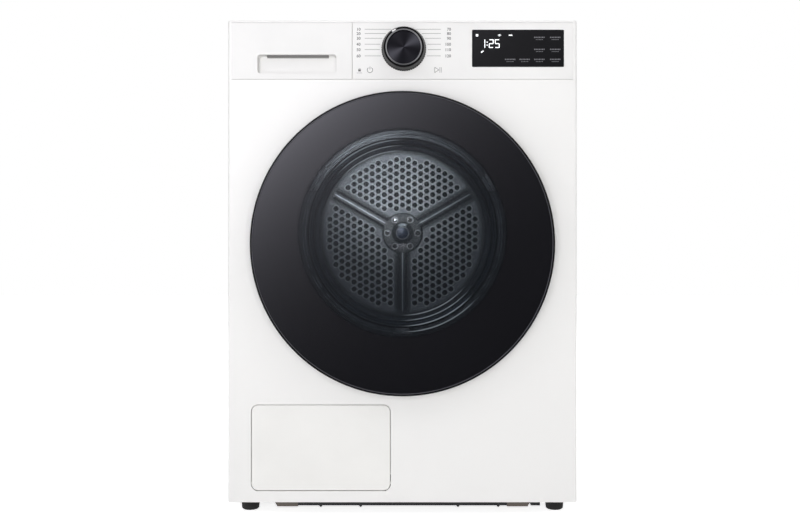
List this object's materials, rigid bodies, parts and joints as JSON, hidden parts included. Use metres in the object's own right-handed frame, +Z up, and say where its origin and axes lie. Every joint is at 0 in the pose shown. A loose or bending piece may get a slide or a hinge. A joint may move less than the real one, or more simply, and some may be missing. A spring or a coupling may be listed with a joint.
{
  "type": "clothes dryer",
  "caption": "Free-standing front-loading heat-pump clothes dryer with a round glass door, steel drum, control knob, water drawer and levelling feet.",
  "frame": {"origin": "on the floor, under the middle of the overall box", "axes": "+Z up, +X to the right as the user faces the door, -Y towards the user"},
  "size_m": [0.6, 0.69, 0.85],
  "materials": {
    "white_paint": "smooth satin white enamel",
    "white_plastic": "satin white moulding",
    "grey_galvanised": "bare zinc-coated sheet",
    "base_black": "black moulded polypropylene",
    "skid_brown": "brown-grey moulded plastic",
    "foot_rubber": "black rubber and nylon",
    "seal_rubber": "dark grey rubber",
    "felt": "pressed wool felt",
    "drum_steel": "stainless steel sheet",
    "hub_steel": "pressed stainless steel",
    "lifter_plastic": "grey moulding",
    "cast_grey": "as-cast aluminium",
    "bearing_steel": "ground steel",
    "duct_grey": "dark grey moulding",
    "filter_plastic": "dark grey moulding",
    "lamp_lens": "frosted clear lens",
    "sensor_steel": "stainless strip",
    "belt_rubber": "ribbed black belt",
    "roller_rubber": "black tread on a nylon hub",
    "motor_iron": "grey painted motor can",
    "compressor_black": "black enamelled shell",
    "coil_aluminium": "fin stock",
    "hose_rubber": "black hose",
    "pump_plastic": "black moulding",
    "tank_plastic": "translucent grey-white moulding",
    "board_green": "circuit board",
    "door_glass": "dark tinted convex glass, black printed border",
    "door_rim": "black gloss moulding",
    "door_frame": "black moulding",
    "bowl_glass": "clear glass bowl",
    "hinge_metal": "zinc-plated steel",
    "display_glass": "black gloss window",
    "knob_black": "fluted black moulding",
    "knob_chrome": "bright ring",
    "knob_brushed": "black spun metal"
  },
  "bodies": {
    "cabinet": {"side_panel_left": "white_paint", "side_panel_right": "white_paint", "rear_panel": "grey_galvanised", "top_panel": "white_paint", "front_panel": "white_paint", "base_tray": "base_black", "base_skids": "skid_brown", "front_bulkhead": "duct_grey", "door_seal": "seal_rubber", "drum_felt_rings": "felt", "front_air_duct": "duct_grey", "lint_filter": "filter_plastic", "drum_lamp": "lamp_lens", "moisture_sensor_bars": "sensor_steel", "shaft_bearing": "bearing_steel", "drive_belt": "belt_rubber", "idler_bracket": "hinge_metal", "motor_housing": "motor_iron", "blower_housing": "duct_grey", "rear_duct": "duct_grey", "compressor": "compressor_black", "refrigerant_circuit": "coil_aluminium", "heat_exchanger_cover": "duct_grey", "condensate_pump": "pump_plastic", "drain_hose": "hose_rubber", "tank_tray": "duct_grey", "drain_spigot": "pump_plastic", "cord_gland": "pump_plastic", "hinge_bracket": "hinge_metal", "door_latch": "pump_plastic", "control_fascia": "white_plastic", "display_window": "display_glass", "control_board": "board_green", "front_crossbar": "grey_galvanised"},
    "door": {"door_glass": "door_glass", "door_rim": "door_rim", "door_back": "door_frame", "door_bowl": "bowl_glass", "door_hinge_arm": "hinge_metal", "door_striker": "hinge_metal"},
    "drum": {"drum_shell": "drum_steel", "drum_back": "drum_steel", "drum_hub": "hub_steel", "drum_spider": "cast_grey", "drum_lifters": "lifter_plastic"},
    "motor": {"motor_rotor": "bearing_steel", "blower_wheel": "duct_grey"},
    "idler": {"idler_pulley": "pump_plastic"},
    "roller_left": {"roller_left": "roller_rubber"},
    "roller_right": {"roller_right": "roller_rubber"},
    "knob": {"knob_body": "knob_black", "knob_ring": "knob_chrome", "knob_cap": "knob_brushed"},
    "drawer": {"tank_front": "white_plastic", "water_tank": "tank_plastic"},
    "flap": {"service_flap": "white_plastic"},
    "foot_front_left": {"foot_front_left": "foot_rubber"},
    "foot_front_right": {"foot_front_right": "foot_rubber"},
    "foot_rear_left": {"foot_rear_left": "foot_rubber"},
    "foot_rear_right": {"foot_rear_right": "foot_rubber"}
  },
  "joints": [
    {"name": "door_hinge", "type": "hinge", "parent": "cabinet", "child": "door", "pos_m": [0.236, -0.327, 0.467], "axis": [0, 0, 1], "range_deg": [0, 130]},
    {"name": "drum_spin", "type": "hinge", "parent": "cabinet", "child": "drum", "pos_m": [0, 0.23, 0.485], "axis": [0, 1, 0], "continuous": true},
    {"name": "motor_spin", "type": "hinge", "parent": "cabinet", "child": "motor", "pos_m": [0.185, 0.1, 0.112], "axis": [0, 1, 0], "continuous": true},
    {"name": "idler_spin", "type": "hinge", "parent": "cabinet", "child": "idler", "pos_m": [0.2567, -0.007, 0.25407], "axis": [0, 1, 0], "continuous": true},
    {"name": "roller_left_spin", "type": "hinge", "parent": "cabinet", "child": "roller_left", "pos_m": [-0.20524, -0.227, 0.2404], "axis": [0, 1, 0], "continuous": true},
    {"name": "roller_right_spin", "type": "hinge", "parent": "cabinet", "child": "roller_right", "pos_m": [0.20524, -0.227, 0.2404], "axis": [0, 1, 0], "continuous": true},
    {"name": "knob_turn", "type": "hinge", "parent": "cabinet", "child": "knob", "pos_m": [0.0022, -0.3, 0.8013], "axis": [0, 1, 0], "continuous": true},
    {"name": "tank_slide", "type": "slide", "parent": "cabinet", "child": "drawer", "axis": [0, -1, 0], "range_m": [0, 0.4]},
    {"name": "flap_hinge", "type": "hinge", "parent": "cabinet", "child": "flap", "pos_m": [-0.14035, -0.295, 0.05415], "axis": [1, 0, 0], "range_deg": [0, 90]},
    {"name": "foot_front_left_level", "type": "slide", "parent": "cabinet", "child": "foot_front_left", "axis": [0, 0, -1], "range_m": [0, 0.012]},
    {"name": "foot_front_right_level", "type": "slide", "parent": "cabinet", "child": "foot_front_right", "axis": [0, 0, -1], "range_m": [0, 0.012]},
    {"name": "foot_rear_left_level", "type": "slide", "parent": "cabinet", "child": "foot_rear_left", "axis": [0, 0, -1], "range_m": [0, 0.012]},
    {"name": "foot_rear_right_level", "type": "slide", "parent": "cabinet", "child": "foot_rear_right", "axis": [0, 0, -1], "range_m": [0, 0.012]}
  ],
  "couplings": [
    {"joint": "motor_spin", "follows": "drum_spin", "ratio": 27.161},
    {"joint": "idler_spin", "follows": "drum_spin", "ratio": -13.297},
    {"joint": "roller_left_spin", "follows": "drum_spin", "ratio": -8.3824},
    {"joint": "roller_right_spin", "follows": "drum_spin", "ratio": -8.3824}
  ]
}
